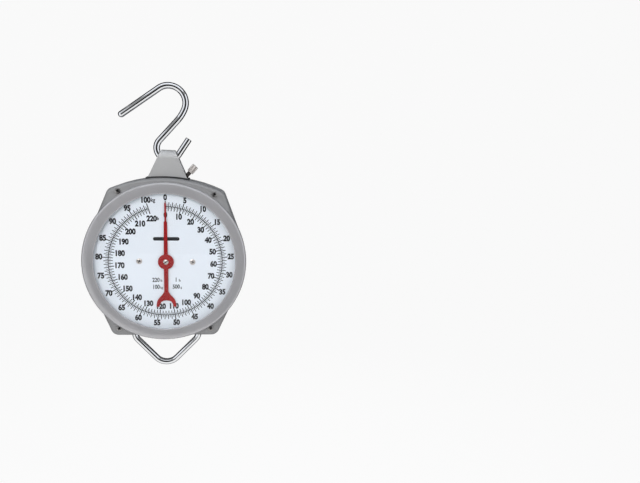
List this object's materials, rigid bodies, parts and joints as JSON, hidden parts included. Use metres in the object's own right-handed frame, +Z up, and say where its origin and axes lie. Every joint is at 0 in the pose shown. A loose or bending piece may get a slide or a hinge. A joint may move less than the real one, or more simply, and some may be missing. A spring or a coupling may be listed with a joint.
{
  "type": "hanging scale",
  "caption": "Hanging dial scale: S-shaped bar hook, folded hanger, pressed case with round bezel and dial, red pointer, V-shaped bar loop and a zero screw.",
  "frame": {"origin": "hang point, the top of the inside of the upper hook's crown, where a support bears", "axes": "+Z up along the line of load, the dial faces -Y, +X to the right of someone reading the dial"},
  "size_m": [0.2, 0.0573, 0.3659],
  "materials": {
    "chrome_bar": "polished round bar",
    "hanger_paint": "satin silver-grey paint",
    "case_paint": "satin grey paint with a fine metallic fleck",
    "bezel_paint": "satin grey paint",
    "clear_lens": "clear flat lens",
    "black_rubber": "matt rubber",
    "dial_white": "white enamel with black print",
    "pointer_red": "red enamel",
    "nickel": "nickel plate",
    "brass": "machined brass",
    "zinc_steel": "zinc plate",
    "bar_steel": "dark forged steel",
    "spring_steel": "oiled spring steel",
    "black_plastic": "black nylon",
    "knob_metal": "warm nickel, knurled"
  },
  "bodies": {
    "hook": {"upper_hook": "chrome_bar"},
    "case": {"hanger_frame": "hanger_paint", "hanger_seal": "black_rubber", "front_cover": "case_paint", "rear_cover": "case_paint", "case_spacers": "zinc_steel", "case_screws": "nickel", "frame_standoffs": "zinc_steel", "frame_screws": "nickel", "frame_pillars": "zinc_steel", "bezel_ring": "bezel_paint", "lens": "clear_lens", "lens_gasket": "black_rubber", "dial_plate": "dial_white", "dial_posts": "zinc_steel", "dial_screws": "nickel", "front_bearing": "brass", "rear_bearing": "brass", "rack_guide": "zinc_steel", "leg_bushes": "black_plastic", "left_spring": "spring_steel", "right_spring": "spring_steel", "upper_plugs": "zinc_steel", "upper_plug_nuts": "zinc_steel", "upper_yoke": "bar_steel", "link_pin": "zinc_steel", "zero_lever": "zinc_steel", "lever_pin": "zinc_steel", "zero_block": "brass"},
    "pointer": {"spindle": "zinc_steel", "pinion": "brass", "pointer_boss": "brass", "pointer": "pointer_red", "pointer_screw": "nickel"},
    "carriage": {"crossbar": "bar_steel", "rack": "brass", "rack_pins": "zinc_steel", "lower_loop": "chrome_bar", "loop_nuts": "zinc_steel", "lower_plugs": "zinc_steel", "lower_plug_nuts": "zinc_steel"},
    "zero_screw": {"zero_stem": "zinc_steel", "zero_knob": "knob_metal"}
  },
  "joints": [
    {"name": "case_swing", "type": "hinge", "parent": "hook", "child": "case", "pos_m": [0, 0, -0.08483], "axis": [1, 0, 0], "range_deg": [-20, 20]},
    {"name": "load_slide", "type": "slide", "parent": "case", "child": "carriage", "axis": [0, 0, -1], "range_m": [0, 0.03232], "stiffness_N_per_m": 30300, "springref_m": -0.0004, "deforming": ["left_spring", "right_spring"]},
    {"name": "pointer_spin", "type": "hinge", "parent": "case", "child": "pointer", "pos_m": [0, 0, -0.21383], "axis": [0, 1, 0], "range_deg": [0, 343]},
    {"name": "zero_turn", "type": "hinge", "parent": "case", "child": "zero_screw", "pos_m": [0.0301, 0, -0.09753], "axis": [0.6428, 0, 0.766], "range_deg": [-360, 360]}
  ],
  "couplings": [
    {"joint": "pointer_spin", "follows": "load_slide", "rad_per_m": 185.19}
  ]
}
